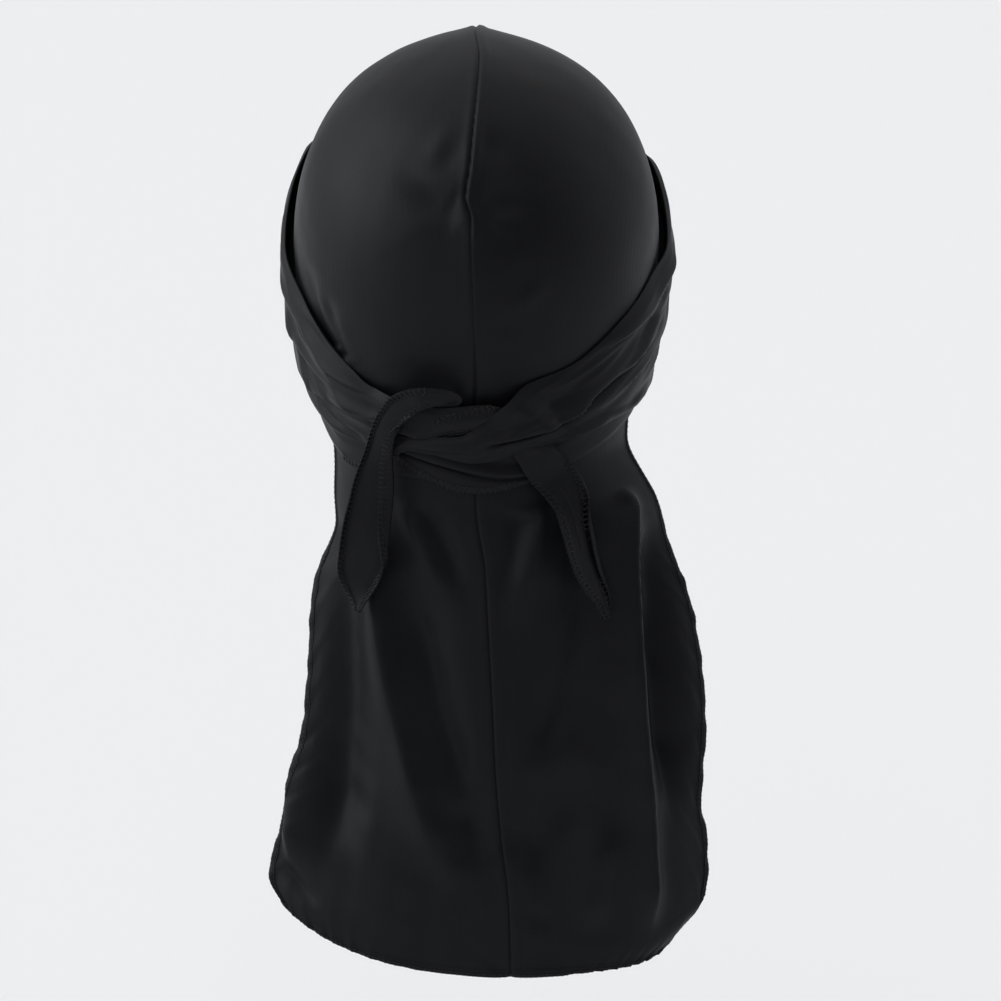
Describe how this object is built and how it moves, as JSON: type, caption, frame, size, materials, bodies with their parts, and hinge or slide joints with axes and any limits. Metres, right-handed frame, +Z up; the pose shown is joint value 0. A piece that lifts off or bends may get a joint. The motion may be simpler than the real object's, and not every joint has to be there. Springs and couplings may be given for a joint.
{
  "type": "durag",
  "caption": "Close-fitting satin head wrap with a raised centre seam, wide straps wound round the head and half-knotted at the nape, and a broad tail hanging behind.",
  "frame": {"origin": "the top of the wearer's head inside the crown, on which the cap hangs", "axes": "+Z up, -Y the way the wearer looks, +X the wearer's left; the knot and the tail are at +Y"},
  "size_m": [0.1833, 0.2032, 0.3772],
  "materials": {
    "panel_satin": "satin",
    "strap_satin": "satin",
    "thread": "satin"
  },
  "bodies": {
    "root": {"left_panel": "panel_satin", "right_panel": "panel_satin", "left_strap": "strap_satin", "right_strap": "strap_satin"}
  },
  "joints": []
}
